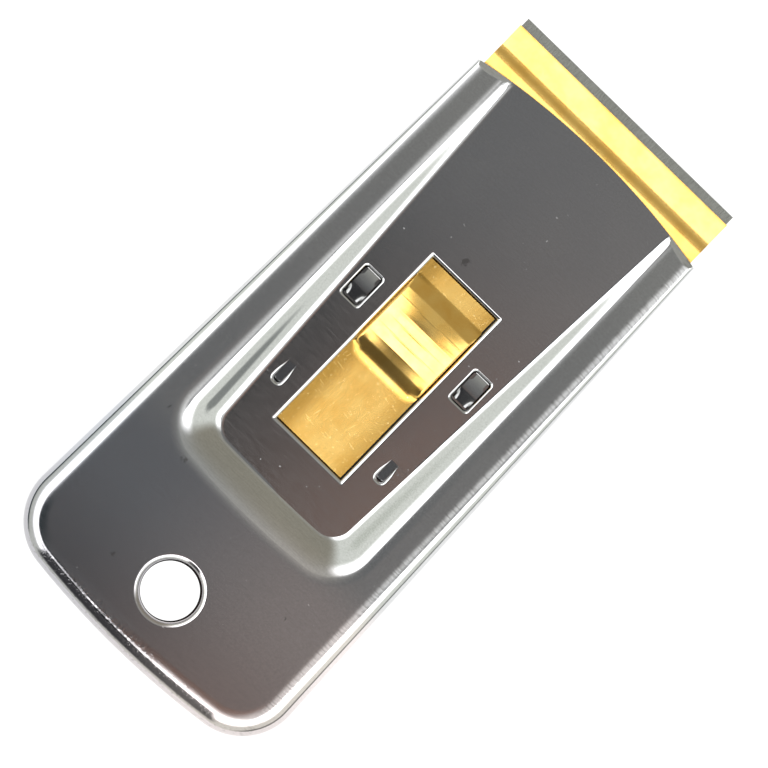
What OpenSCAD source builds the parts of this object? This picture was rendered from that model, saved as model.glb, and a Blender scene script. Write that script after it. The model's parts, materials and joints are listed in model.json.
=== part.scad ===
// Pocket razor blade scraper with a retractable blade.
// A pressed steel front shell is hemmed round a flat back plate. Between them slides a plated
// carriage that carries a single-edge blade and shows its thumb pad through a window.
// Millimetres. +Y points to the cutting edge, +Z up out of the front face, X across.
// The origin is under the middle of the whole tool, on the plane that its back lies on.

/* [Blade] */
// Length of the cutting edge
blade_w = 38.1; // [36:0.1:40]
// Depth of the blade from cutting edge to the back of its spine
blade_d = 19.05; // [18:0.05:21]
// Thickness of the blade
blade_t = 0.23; // [0.2:0.01:0.4]
// Length of the ground bevel behind the cutting edge
bevel_l = 1.3; // [0.8:0.1:1.8]
// Depth of the folded spine
spine_d = 5; // [4:0.1:6]
// Thickness of the folded spine
spine_t = 1; // [0.8:0.05:1.3]
// How far the folded spine reaches behind the blade that it grips
spine_fold = 0.6; // [0.4:0.1:1]
// Width of the notch in each end of the blade
notch_w = 3; // [2.4:0.1:4]
// Depth of the notch in each end of the blade
notch_d = 1.95; // [1.2:0.05:2.5]
// How far the cutting edge stands ahead of the case at rest
blade_out = 6.7; // [6:0.1:8]

/* [Travel] */
// Travel of the carriage back to the retracted position
travel_back = 13; // [10:0.5:13.5]
// Travel of the carriage forward to the blade-changing position
travel_fwd = 2.5; // [1:0.1:3]

/* [Case] */
// Thickness of the steel sheet of the shell and the back plate
sheet_t = 0.45; // [0.35:0.05:0.6]
// How much wider each side of the case is at the back than at the front
case_flare = 3.2; // [1:0.1:5]
// Length of the grip behind the recess
grip_l = 30.1; // [29:0.1:40]
// How far the middle of the front edge stands ahead of its corners
front_bow = 1.9; // [1:0.1:3]
// Radius of the two back corners
back_corner_r = 9; // [7:0.5:12]
// Angle at which the bowed back edge meets the corners
back_crown = 7; // [2:0.5:10]
// Height of the side rails above the panel at the front edge
rail_front_h = 0.12; // [0.1:0.01:0.6]
// Height of the grip above the panel at the back edge
rail_back_h = 3.8; // [3:0.1:5]
// Inside radius of the rolled edge at the front
roll_front_in = 0.25; // [0.15:0.05:0.5]
// Inside radius of the rolled edge at the back
roll_back_in = 1.95; // [1:0.05:2.5]
// Draft of the side walls, in degrees
side_draft = 8; // [3:0.5:10]
// Width of the hem folded under the back plate
hem_w = 1.6; // [1.3:0.1:2.2]
// How far the back plate stops short of the front corners
plate_setback = 0.8; // [0.5:0.1:2]

/* [Recess] */
// Width of the recess at the top of its walls
recess_top_w = 31.7; // [30:0.1:33]
// Plan width of each side wall of the recess at the front
recess_front_wall = 1.2; // [0.6:0.1:2]
// Plan width of each side wall of the recess at the back
recess_side_wall = 4.35; // [3:0.05:4.5]
// Corner radius of the sunk panel
panel_corner_r = 3.2; // [2:0.1:4]
// Corner radius of the top of the recess wall
recess_corner_r = 6; // [4.5:0.1:8]
// Plan depth of the wall at the back of the recess
recess_back_wall = 4.9; // [4:0.1:6]
// Panel left behind the window
panel_margin = 7.2; // [6:0.1:10]

/* [Window] */
// Width of the window
window_w = 12; // [10:0.1:12.6]
// Distance from the front edge to the window
window_setback = 25.05; // [24.6:0.05:27]

/* [Hanging hole] */
// Diameter of the hanging hole
hole_d = 8; // [6:0.1:9]
// Distance from the back edge to the centre of the hole
hole_setback = 11.05; // [10.5:0.05:12]
// Width of the rolled-in rim of the hole
hole_roll_w = 0.9; // [0.4:0.1:1.2]
// Flat land round the hole on the raised boss of the back plate
boss_land = 2; // [1.2:0.1:2.4]
// Plan width of the sloping side of the boss
boss_slope = 2; // [1.2:0.1:2.4]

/* [Locating lugs] */
// Width of each lug
lug_w = 2.6; // [2:0.1:2.8]
// Length of each lug
lug_l = 4.6; // [3.5:0.1:5.5]
// Distance from the front edge to the middle of the lugs
lug_setback = 34.4; // [33.5:0.1:36]
// Clearance of a lug in its hole
lug_gap = 0.2; // [0.1:0.05:0.3]

/* [Carriage stops] */
// Width of each pressed-in stop
stop_w = 1.9; // [1.4:0.1:2.4]
// Length of each pressed-in stop
stop_l = 3.7; // [3:0.1:4.5]
// Depth to which the free end of a stop is pressed below the panel
stop_drop = 0.9; // [0.6:0.05:1]
// Distance from the back of the window forward to the middle of the stops
stop_lead = 5.05; // [4:0.05:6]
// Sheared gap round each stop
stop_gap = 0.12; // [0.08:0.02:0.2]

/* [Carriage] */
// Thickness of the carriage sheet
carriage_t = 0.4; // [0.3:0.05:0.5]
// How far the carriage stands past each end of the blade
carriage_over = 0.15; // [0.05:0.05:0.3]
// Width of blade left bare in front of the lip
lip_back = 1.4; // [1:0.1:2.5]
// Length of the lip that rises off the blade towards the front
lip_l = 3.8; // [3:0.1:4.5]
// Plan length of the front face of the bead behind the lip
bead_front_l = 1.2; // [0.8:0.1:1.6]
// Plan length of the back face of the bead
bead_back_l = 1.9; // [1:0.1:2]
// Width of each ear that drops through a notch of the blade
ear_w = 2.2; // [1.6:0.1:2.3]
// Length of the foot of each ear under the blade
ear_foot = 2.2; // [1:0.1:3]
// How far the tongue reaches past each side of the window
window_lap = 2.3; // [1.5:0.1:2.5]
// How far each ear of the tail reaches out past the tongue
tail_ear = 2.6; // [2.2:0.1:3]
// Length of the ears of the tail
tail_ear_l = 4; // [3.5:0.1:6]

/* [Thumb pad] */
// Height of the pad above the carriage
pad_h = 1.8; // [1.4:0.1:2.6]
// Plan length of the front face of the pad
pad_front_l = 2.3; // [1.5:0.1:3]
// Plan length of the top of the pad from its front edge to its crest
pad_rise_l = 3; // [2:0.1:4]
// How much lower the front edge of the top is than its crest
pad_edge_drop = 0.35; // [0.2:0.05:0.5]
// Plan length of the top of the pad from its crest to its back edge
pad_fall_l = 4.6; // [3.5:0.1:6]
// How much lower the back edge of the top is than its crest
pad_rear_drop = 0.5; // [0.2:0.05:0.7]
// Plan length of the steep back face of the pad
pad_back_l = 3; // [2:0.1:3.5]
// Plan length of the foot of the back face
pad_foot_l = 1.1; // [0.5:0.1:1.5]
// Height of the foot of the back face
pad_foot_h = 0.07; // [0.05:0.01:0.2]
// Number of grip ribs across the top of the pad
rib_count = 6; // [3:1:8]
// Radius of each grip rib
rib_r = 0.1; // [0.06:0.02:0.2]

/* [Clearances] */
// Sliding clearance above and below the carriage
slide_gap = 0.15; // [0.1:0.05:0.3]
// Clearance beside the carriage and its tongue
guide_gap = 0.3; // [0.2:0.05:0.5]
// Clearance between the carriage and the inside of the side walls
side_gap = 0.15; // [0.1:0.05:0.4]
// Clearance left at the end of each travel
end_gap = 0.2; // [0.1:0.05:0.4]
// Gap between pieces that are held together
fit_gap = 0.02; // [0.01:0.01:0.05]
// Clearance round the edge of the back plate
plate_gap = 0.1; // [0.05:0.05:0.3]

/* [Hidden] */
$fn = 96;

// Heights of the stack, from the back upwards
plate_z = sheet_t + fit_gap;
plate_top = plate_z + sheet_t;
under_blade = max(spine_t / 2, blade_t / 2 + fit_gap + carriage_t);
blade_z = plate_top + slide_gap + under_blade;
carriage_z = blade_z + spine_t / 2 + fit_gap;
carriage_top = carriage_z + carriage_t;
panel_z = carriage_top + slide_gap + sheet_t;

// Widths
carriage_w = blade_w + 2 * carriage_over;
wall_plan = sheet_t / cos(side_draft) + carriage_top * tan(side_draft);
front_half = carriage_w / 2 + side_gap + wall_plan;
back_half = front_half + case_flare;
tongue_w = window_w + 2 * window_lap;
pad_w = window_w - 2 * guide_gap;
lug_hole_w = lug_w + 2 * lug_gap;
lug_hole_l = lug_l + 2 * lug_gap;
lug_x = tongue_w / 2 + guide_gap + lug_hole_w / 2;
stop_x = tongue_w / 2 + guide_gap + stop_w / 2;
panel_front_w = recess_top_w - 2 * recess_front_wall;
panel_back_w = recess_top_w - 2 * recess_side_wall;
roll_front_r = roll_front_in + sheet_t;
roll_back_r = roll_back_in + sheet_t;
boss_top_r = hole_d / 2 + boss_land;
boss_base_r = boss_top_r + boss_slope;

// Lengths, measured along Y
pad_l = pad_front_l + pad_rise_l + pad_fall_l + pad_back_l + pad_foot_l;
window_l = travel_back + travel_fwd + pad_l + 2 * end_gap;
stop_setback = window_setback + window_l - stop_lead;
tail_ear_setback = stop_setback + stop_l / 2 + travel_fwd + end_gap;
tail_setback = tail_ear_setback + tail_ear_l;
boss_room = tail_setback + travel_back + end_gap + boss_base_r + hole_setback;
case_l = max(window_setback + window_l + panel_margin + grip_l, boss_room);
overall_l = case_l + blade_out;
back_y = -overall_l / 2;
front_y = back_y + case_l;
edge_y = front_y + blade_out;
corner_y = front_y - front_bow;
window_front_y = front_y - window_setback;
window_back_y = window_front_y - window_l;
panel_back_y = window_back_y - panel_margin;
hole_y = back_y + hole_setback;
lug_y = front_y - lug_setback;
stop_y = front_y - stop_setback;
pad_front_y = window_front_y - travel_fwd - end_gap;
pad_back_y = pad_front_y - pad_l;
shoulder_y = lug_y + lug_hole_l / 2 + travel_back + end_gap;
tail_ear_y = front_y - tail_ear_setback;
tail_y = front_y - tail_setback;
spine_back_y = edge_y - blade_d;
spine_front_y = spine_back_y + spine_d;
lip_y = edge_y - lip_back;
plate_front_y = corner_y - plate_setback;

// Overlap that joins solids of one piece, length by which a cut runs on past a face, and reach
// of a cut that goes right through the tool
weld = 0.05;
over = 1;
reach = 20;

// The front edge is an arc through the middle and both corners
bow_r = (pow(front_half, 2) + pow(front_bow, 2)) / (2 * front_bow);

// Steps along the straight side, round each back corner and along half of the back edge
side_steps = 3;
corner_steps = 9;
back_steps = 4;
half_n = side_steps + corner_steps + 1 + back_steps;
ring_n = 2 * half_n - 1;

// Height of the grip and the side rails, which rise evenly from front to back
rail_least_h = 0.05;
function rail_share(y) = (front_y - y) / case_l;
function rail_h(y) = rail_front_h + (rail_back_h - rail_front_h) * rail_share(y);
function top_z(y) = panel_z + max(rail_h(y), rail_least_h);
function roll_r(y) = roll_front_r + (roll_back_r - roll_front_r) * max(rail_share(y), 0);

// Right half of a U-shaped curve: half widths at front and back, back end, corner radius, crown angle
function u_half(front_w, back_w, end_y, r, crown) =
    let (corner_x = back_w - r)
    let (arc_x = corner_x + r * sin(crown))
    let (arc_y = end_y + arc_x * tan(crown) / 2)
    let (centre_y = arc_y + r * cos(crown))
    let (start_y = front_y + over)
    concat(
        [for (i = [0:side_steps - 1])
            let (share = i / side_steps)
            [front_w + (back_w - front_w) * share, start_y + (centre_y - start_y) * share]],
        [for (i = [0:corner_steps])
            let (a = (90 - crown) * i / corner_steps)
            [corner_x + r * cos(a), centre_y - r * sin(a)]],
        [for (i = [1:back_steps])
            let (x = arc_x * (1 - i / back_steps))
            [x, end_y + x * x * tan(crown) / (2 * arc_x)]]);

// Both halves of a curve, from the right front round the back to the left front
function u_full(half) =
    concat(half, [for (i = [len(half) - 2:-1:0]) [-half[i][0], half[i][1]]]);

// The case outline moved inward by one amount at the front and another at the back
function outline(front_in, back_in) =
    u_full(u_half(front_half - front_in, back_half - back_in, back_y + back_in,
        back_corner_r - back_in, back_crown));

// Centre of the edge roll, measured inward from the outline
function roll_centre(h, r) = tan(side_draft) * (h - r + r * sin(side_draft)) + r * cos(side_draft);
front_centre = roll_centre(top_z(front_y), roll_r(front_y));
back_centre = roll_centre(top_z(back_y), roll_r(back_y));

// Level ring of the hem
function flat_ring(inward, z) = [for (p = outline(inward, inward)) [p[0], p[1], z]];

// Ring on the rolled edge at an angle above level, on a surface that lies a depth inside the outside
function roll_ring(angle, depth) =
    [for (p = outline(front_centre - (roll_r(front_y) - depth) * cos(angle),
                      back_centre - (roll_r(back_y) - depth) * cos(angle)))
        [p[0], p[1], top_z(p[1]) - roll_r(p[1]) + (roll_r(p[1]) - depth) * sin(angle)]];

// Ring on the recess wall at a share of its plan width, from the panel (0) to the top (1)
function recess_ring(share, depth) =
    let (rise = (1 - cos(180 * share)) / 2)
    let (front_out = depth * tan(recess_slope(front_y, (recess_top_w - panel_front_w) / 2) / 2))
    let (back_out = depth * tan(recess_slope(panel_back_y, (recess_top_w - panel_back_w) / 2) / 2))
    let (ring = u_full(u_half(
        panel_front_w / 2 + (recess_top_w - panel_front_w) / 2 * share + front_out,
        panel_back_w / 2 + (recess_top_w - panel_back_w) / 2 * share + back_out,
        panel_back_y - recess_back_wall * share - back_out,
        panel_corner_r + (recess_corner_r - panel_corner_r) * share + back_out,
        panel_crown + (recess_crown - panel_crown) * share)))
    [for (p = ring) [p[0], p[1], panel_z + (top_z(p[1]) - panel_z) * rise - depth]];

// Steepest slope of the recess wall, in degrees, where it has a plan width
function recess_slope(y, plan) = atan(PI / 2 * (top_z(y) - panel_z) / plan);
panel_crown = 2;
recess_crown = 5;

// Rings of one surface of the shell, from the edge of the hem to the edge of the panel
roll_angles = [side_draft, 25, 42, 58, 74, 90];
recess_shares = [1, 0.86, 0.72, 0.5, 0.28, 0.14, 0];
function shell_rings(depth, hem_rings) =
    concat(
        [for (h = hem_rings) flat_ring(h[0], h[1])],
        [for (a = roll_angles) roll_ring(a, depth)],
        [for (s = recess_shares) recess_ring(s, depth)]);

// Distance inward and height of the rings of the hem, outside and inside its fold
fold_r = sheet_t;
fold_share = 0.3;
fold_in = sheet_t / cos(side_draft) + sheet_t * tan(side_draft);
outer_hem = [[hem_w, 0], [fold_r, 0], [fold_r * fold_share, fold_r * fold_share]];
inner_hem = [[hem_w, sheet_t], [(hem_w + fold_in) / 2, sheet_t], [fold_in, sheet_t]];

function quad(a, b, c, d) = [[a, b, c], [a, c, d]];

module shell_blank() {
    outer = shell_rings(0, outer_hem);
    inner = shell_rings(sheet_t, inner_hem);
    rows = len(outer);
    base = rows * ring_n;
    last = (rows - 1) * ring_n;
    under = base + last;
    end = ring_n - 1;
    faces = [
        for (i = [0:rows - 2], k = [0:ring_n - 2])
            let (a = i * ring_n + k)
            for (f = concat(
                quad(a, a + 1, a + ring_n + 1, a + ring_n),
                quad(base + a, base + a + ring_n, base + a + ring_n + 1, base + a + 1))) f,
        for (k = [0:ring_n - 2]) for (f = quad(k, base + k, base + k + 1, k + 1)) f,
        for (k = [0:half_n - 3])
            for (f = concat(
                quad(last + k, last + k + 1, last + end - k - 1, last + end - k),
                quad(under + k, under + end - k, under + end - k - 1, under + k + 1))) f,
        [last + half_n - 2, last + half_n - 1, last + half_n],
        [under + half_n - 2, under + half_n, under + half_n - 1],
        for (i = [0:rows - 2])
            let (a = i * ring_n)
            for (f = concat(
                quad(a, a + ring_n, base + a + ring_n, base + a),
                quad(a + end, base + a + end, base + a + ring_n + end, a + ring_n + end))) f,
        for (f = quad(last, last + end, under + end, under)) f
    ];
    polyhedron([for (ring = concat(outer, inner)) for (p = ring) p], faces);
}

// Everything ahead of the bowed front edge
module front_trim() {
    difference() {
        translate([-back_half - over, front_y - 2 * front_bow - over, -over])
            cube([2 * back_half + 2 * over, 2 * front_bow + 3 * over, reach]);
        translate([0, front_y - bow_r, -2 * over])
            cylinder(r = bow_r, h = reach + 2 * over, $fn = 360);
    }
}

// Rectangular hole through the panel
module panel_hole(w, l, x, y) {
    translate([x - w / 2, y - l / 2, panel_z - sheet_t - over])
        cube([w, l, sheet_t + 2 * over]);
}

// Outline in the YZ plane, extruded along X about the middle
module across(w, x = 0) {
    translate([x - w / 2, 0, 0])
        rotate([90, 0, 90])
            linear_extrude(w)
                children();
}

// Mitred outline of a bent sheet of an even thickness about a path
function unit(v) = v / norm(v);
function side_of(v) = [-v[1], v[0]];
function leg(path, i) = side_of(unit(path[i + 1] - path[i]));
function mitre(path, i) =
    let (before = leg(path, max(i - 1, 0)))
    let (after = leg(path, min(i, len(path) - 2)))
    let (middle = unit(before + after))
    middle / (middle * before);
function sheet_outline(path, t) =
    concat(
        [for (i = [0:len(path) - 1]) path[i] + mitre(path, i) * t / 2],
        [for (i = [len(path) - 1:-1:0]) path[i] - mitre(path, i) * t / 2]);

// Tongue pressed out of the panel: level at its root, its free back end below the panel
stop_root = 0.25 * stop_l;
module stop_tongue() {
    root = stop_y + stop_l / 2;
    free = stop_y - stop_l / 2 + stop_gap;
    level = panel_z - sheet_t / 2;
    across(stop_w - 2 * stop_gap)
        polygon(sheet_outline([
            [root + weld, level],
            [root - stop_root, level],
            [free, level - stop_drop]], sheet_t));
}

// Rolled-in rim of the hanging hole, as a cone that runs on above the grip
hole_roll_d = 0.3 * hole_roll_w;
module hole_rim() {
    cone_run = 3;
    translate([0, hole_y, top_z(hole_y) - hole_roll_d])
        cylinder(h = cone_run * hole_roll_d, d1 = hole_d, d2 = hole_d + 2 * cone_run * hole_roll_w);
}

module front_shell() {
    color("#9a9ca0")
    union() {
        difference() {
            shell_blank();
            front_trim();
            panel_hole(window_w, window_l, 0, (window_front_y + window_back_y) / 2);
            for (side = [-1, 1]) {
                panel_hole(lug_hole_w, lug_hole_l, side * lug_x, lug_y);
                panel_hole(stop_w, stop_l, side * stop_x, stop_y);
            }
            translate([0, hole_y, 0])
                cylinder(d = hole_d, h = reach);
            hole_rim();
        }
        for (side = [-1, 1])
            translate([side * stop_x, 0, 0])
                stop_tongue();
    }
}

// Outline of the back plate, inside the side walls of the shell
module plate_outline() {
    plate_in = (sheet_t + plate_gap) / cos(side_draft) + plate_top * tan(side_draft);
    intersection() {
        polygon(outline(plate_in, plate_in));
        translate([-back_half, back_y])
            square([2 * back_half, plate_front_y - back_y]);
    }
}

// Hooked lug that stands up into a hole of the panel, and the slot that it is cut from
lug_top = panel_z - 0.7 * sheet_t;
lug_bend = 0.6 * (lug_top - plate_top);
lug_droop = 0.15 * lug_bend;
lug_end_y = lug_y - 0.2 * lug_l;
lug_slot_l = 0.8 * lug_l;
module lug() {
    front = lug_y + lug_l / 2 - sheet_t / 2;
    low = lug_top - lug_bend;
    across(lug_w)
        polygon(sheet_outline(concat(
            [[front, plate_z + weld], [front, low]],
            [for (a = [15:15:90]) [front - lug_bend * (1 - cos(a)), low + lug_bend * sin(a)]],
            [[lug_end_y, lug_top - lug_droop]]), sheet_t));
}

// The boss ends just under the shell, which is lowest over the front of the boss
boss_z = top_z(hole_y + boss_top_r) - sheet_t - fit_gap;

module back_plate() {
    color("#86888c")
    union() {
        difference() {
            translate([0, 0, plate_z])
                linear_extrude(sheet_t)
                    plate_outline();
            translate([0, hole_y, plate_z - over])
                cylinder(r = boss_base_r - sheet_t, h = sheet_t + 2 * over);
            for (side = [-1, 1])
                translate([side * lug_x - lug_w / 2, lug_y + lug_l / 2, plate_z - over])
                    cube([lug_w, lug_slot_l, sheet_t + 2 * over]);
        }
        translate([0, hole_y, 0])
            rotate_extrude()
                polygon([
                    [boss_base_r + weld, plate_z],
                    [boss_base_r + weld, plate_top],
                    [boss_top_r, boss_z],
                    [hole_d / 2, boss_z],
                    [hole_d / 2, boss_z - sheet_t],
                    [boss_top_r - sheet_t, boss_z - sheet_t],
                    [boss_base_r - sheet_t, plate_z]]);
        for (side = [-1, 1])
            translate([side * lug_x, 0, 0])
                lug();
    }
}

// Levels of the middle of the carriage sheet: over the spine, and pressed down to the blade
flat_level = carriage_z + carriage_t / 2;
low_level = blade_z + blade_t / 2 + fit_gap + carriage_t / 2;
step_y = spine_front_y + carriage_t;
step_l = 3 * carriage_t;
crease_y = lip_y - lip_l;
bead_y = crease_y - bead_front_l;
bead_back_y = bead_y - bead_back_l;
ear_y = (step_y + step_l + bead_back_y) / 2;

// Blade holder across the front of the carriage, seen from the side
module holder() {
    across(carriage_w)
        polygon(sheet_outline([
            [shoulder_y, flat_level],
            [step_y, flat_level],
            [step_y + step_l, low_level],
            [bead_back_y, low_level],
            [bead_y, flat_level],
            [crease_y, low_level],
            [lip_y, flat_level]], carriage_t));
}

// Ear that drops through the notch of the blade and turns in under it
module ear() {
    leg_x = blade_w / 2 - notch_d + guide_gap / 2;
    foot_z = blade_z - blade_t / 2 - fit_gap - carriage_t;
    translate([leg_x, ear_y - ear_w / 2, foot_z])
        cube([carriage_t, ear_w, low_level - foot_z]);
    translate([leg_x + carriage_t - ear_foot, ear_y - ear_w / 2, foot_z])
        cube([ear_foot, ear_w, carriage_t]);
}

// Tongue under the window, with the two ears of its tail
module tongue() {
    half = tongue_w / 2;
    wide = half + tail_ear;
    translate([0, 0, carriage_z])
        linear_extrude(carriage_t)
            polygon([
                [half, shoulder_y + over], [half, tail_ear_y], [wide, tail_ear_y], [wide, tail_y],
                [-wide, tail_y], [-wide, tail_ear_y], [-half, tail_ear_y], [-half, shoulder_y + over]]);
}

// Side view of the pressed-up thumb pad, from its front to its back
edge_top_y = pad_front_y - pad_front_l;
crest_y = edge_top_y - pad_rise_l;
rear_top_y = crest_y - pad_fall_l;
foot_y = rear_top_y - pad_back_l;
pad_path = [
    [pad_front_y + over, flat_level],
    [pad_front_y, flat_level],
    [edge_top_y, pad_level(edge_top_y)],
    [crest_y, pad_level(crest_y)],
    [rear_top_y, pad_level(rear_top_y)],
    [foot_y, flat_level + pad_foot_h],
    [pad_back_y, flat_level],
    [pad_back_y - over, flat_level]];

// Level of the middle of the sheet on the top of the pad
function pad_level(y) =
    let (drop = y > crest_y ?
        pad_edge_drop * (y - crest_y) / pad_rise_l :
        pad_rear_drop * (crest_y - y) / pad_fall_l)
    flat_level + pad_h - drop;

module thumb_pad() {
    ends = len(pad_path) - 1;
    across(pad_w)
        polygon(sheet_outline(pad_path, carriage_t));
    for (side = [-1, 1])
        across(carriage_t, side * (pad_w - carriage_t) / 2)
            polygon(concat(
                [for (i = [1:ends - 1]) pad_path[i] + [0, carriage_t / 2]],
                [[pad_back_y, carriage_z], [pad_front_y, carriage_z]]));
}

// Grip ribs across the top of the pad, evenly from its front edge to its back edge
module pad_ribs() {
    pitch = (edge_top_y - rear_top_y) / (rib_count - 1);
    for (i = [0:rib_count - 1]) {
        y = edge_top_y - i * pitch;
        translate([0, y, pad_level(y) + carriage_t / 2])
            rotate([0, 90, 0])
                cylinder(r = rib_r, h = pad_w - 4 * carriage_t, center = true, $fn = 24);
    }
}

module blade_carriage() {
    color("#e3b04b")
    union() {
        holder();
        difference() {
            tongue();
            translate([weld - pad_w / 2, pad_back_y, carriage_z - over])
                cube([pad_w - 2 * weld, pad_l, carriage_t + 2 * over]);
        }
        thumb_pad();
        pad_ribs();
        ear();
        mirror([1, 0, 0])
            ear();
    }
}

module razor_blade() {
    half = blade_t / 2;
    tip = half / 10;
    color("#77797b")
    difference() {
        across(blade_w)
            polygon([
                [spine_back_y + spine_fold, blade_z - half],
                [edge_y - bevel_l, blade_z - half],
                [edge_y, blade_z - tip],
                [edge_y, blade_z + tip],
                [edge_y - bevel_l, blade_z + half],
                [spine_back_y + spine_fold, blade_z + half]]);
        for (side = [-1, 1])
            translate([side * blade_w / 2 - notch_d, ear_y - notch_w / 2, blade_z - over])
                cube([2 * notch_d, notch_w, 2 * over]);
    }
}

module blade_spine() {
    slot = blade_t / 2 + fit_gap / 2;
    color("#b9bcc0")
    across(blade_w)
        difference() {
            translate([spine_back_y, blade_z - spine_t / 2])
                square([spine_d, spine_t]);
            translate([spine_back_y + spine_fold - fit_gap / 2, blade_z - slot])
                square([spine_d, 2 * slot]);
        }
}

front_shell();
back_plate();
blade_carriage();
razor_blade();
blade_spine();
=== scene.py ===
"""Looks of a pocket razor blade scraper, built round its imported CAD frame.

A pressed steel shell with rolled edges is hemmed round a back plate. A plated carriage with a
raised thumb pad slides between them and carries a single-edge blade with a folded spine.
Shapes are worked out in millimetres and handed to Blender in metres.
"""

import json
import math

import bmesh
import bpy
from mathutils import Matrix, Vector
from mathutils.geometry import delaunay_2d_cdt


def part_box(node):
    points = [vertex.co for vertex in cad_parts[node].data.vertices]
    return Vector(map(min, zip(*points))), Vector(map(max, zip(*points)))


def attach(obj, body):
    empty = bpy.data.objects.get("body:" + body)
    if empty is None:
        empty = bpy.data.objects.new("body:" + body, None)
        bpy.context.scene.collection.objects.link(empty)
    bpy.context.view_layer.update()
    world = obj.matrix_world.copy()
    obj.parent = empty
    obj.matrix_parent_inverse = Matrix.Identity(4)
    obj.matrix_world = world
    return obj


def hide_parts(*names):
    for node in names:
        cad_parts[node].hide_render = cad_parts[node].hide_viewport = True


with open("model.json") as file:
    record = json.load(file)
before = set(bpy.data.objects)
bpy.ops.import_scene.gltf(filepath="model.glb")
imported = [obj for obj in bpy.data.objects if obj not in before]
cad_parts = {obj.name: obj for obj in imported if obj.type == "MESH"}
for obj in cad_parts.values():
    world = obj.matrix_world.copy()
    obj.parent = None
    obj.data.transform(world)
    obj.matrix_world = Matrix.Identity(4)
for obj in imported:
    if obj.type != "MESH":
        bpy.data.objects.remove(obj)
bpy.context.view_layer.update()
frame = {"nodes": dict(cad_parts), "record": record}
scene = bpy.context.scene

MM = 0.001


def corners(node):
    """Lowest and highest corner of a CAD node, in millimetres."""
    low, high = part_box(node)
    return low / MM, high / MM


# Places taken from the frame
shell_low, shell_high = corners("front_shell")
plate_low, plate_high = corners("back_plate")
carriage_low, carriage_high = corners("blade_carriage")
blade_low, blade_high = corners("razor_blade")
spine_low, spine_high = corners("blade_spine")
hang_hole = next(m for m in frame["record"]["mounts"] if m["name"] == "hang_hole")
hole_y = hang_hole["pos_m"][1] / MM
hole_r = hang_hole["dims"]["r_mm"]
front_y = shell_high.y

# Sheet and clearances
sheet_t = 0.45
carriage_t = 0.4
fit_gap = 0.02
slide_gap = 0.15

# Levels of the stack
plate_z = plate_low.z
plate_top = plate_z + sheet_t
blade_t = blade_high.z - blade_low.z
carriage_z = spine_high.z + fit_gap
carriage_top = carriage_z + carriage_t
panel_z = carriage_top + slide_gap + sheet_t
flat_level = carriage_z + carriage_t / 2
low_level = blade_high.z + fit_gap + carriage_t / 2

# Case
case_flare = 3.2
front_bow = 1.9
back_corner_r = 9.0
back_crown = math.radians(7)
fold_r = 0.5
fold_share = 0.3
back_half = shell_high.x + fold_share * sheet_t
front_half = back_half - case_flare
back_y = shell_low.y - fold_share * sheet_t
case_l = front_y - back_y
bow_r = (front_half ** 2 + front_bow ** 2) / (2 * front_bow)
rail_front_h = 0.12
rail_back_h = 3.8
roll_front_r = 0.5
roll_back_r = 2.4
side_draft = math.radians(5)
shoulder_w = 1.4
shoulder_drop = 0.054
shoulder_tilt = math.atan(2 * shoulder_drop / shoulder_w)
# Along the back edge the shoulder fades out between these places
crisp_start_x = 8.0
crisp_full_x = -4.0
hem_w = 1.6
facet_l = 0.85
facet_top_h = rail_front_h + (rail_back_h - rail_front_h) * (front_bow + facet_l) / case_l
facet_slope = facet_top_h / facet_l
# Rows of points near the front edge, in lengths of the facet
facet_rows = (0, 0.4, 0.8, 0.9, 1.1, 1.25, 1.6)

# Recess and its panel
recess_front_half = 15.6
recess_back_half = 16.05
panel_front_half = 14.65
panel_back_half = 11.5
panel_corner_r = 3.2
recess_corner_r = 6.0
recess_back_wall = 4.7
side_wall_bias = 0.84
back_wall_foot = 0.045
back_wall_crest = 1.6
wall_end_slope = 0.13
foot_w = 0.45
foot_h = 0.02
foot_fade_x = 3.0
window_half = 6.0
window_front_y = front_y - 25.05
window_back_y = window_front_y - 29.9
panel_back_y = window_back_y - 7.2
panel_crown = math.radians(2)
recess_crown = math.radians(5)

# Holes of the panel
rim_w = 0.5
rim_h = 0.34
burr_w = 0.12
burr_h = 0.3
window_burr_w = 0.22
burr_aside = 0.14
window_corner_r = 0.12
lug_rim_w = 0.28
lug_corner_r = 0.5
stop_rim_w = 0.36
stop_corner_r = 0.5
lug_x = 10.1
lug_y = front_y - 34.4
lug_w = 2.6
lug_l = 4.6
lug_gap = 0.2
lug_sink = 0.1
lug_neck_w = 1.9
lug_front_slope = 0.1
lug_back_slope = 0.3
lug_corner_drop = 0.24
lug_left_share = 1.6
lug_ridge_y = lug_y - 0.368
lug_neck_start_y = lug_y + 1.472
lug_neck_end_y = lug_y + 0.92
stop_x = 9.55
stop_y = window_back_y + 5.05
stop_w = 1.3
stop_l = 3.4
stop_drop = 0.9
hole_rim_w = 0.72
hole_lap = 0.17
hole_aside = 0.08
# The left wall of the recess grows steeper between these places
steep_start_y = lug_y + 5
steep_full_y = panel_back_y + 18

# Back plate
boss_top_r = 6.0
boss_base_r = 8.0
boss_z = plate_high.z
boss_bend = 0.7
plate_gap = 0.1
slot_l = 3.68
slot_gap = 0.1
slot_corner_r = 0.3

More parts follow.
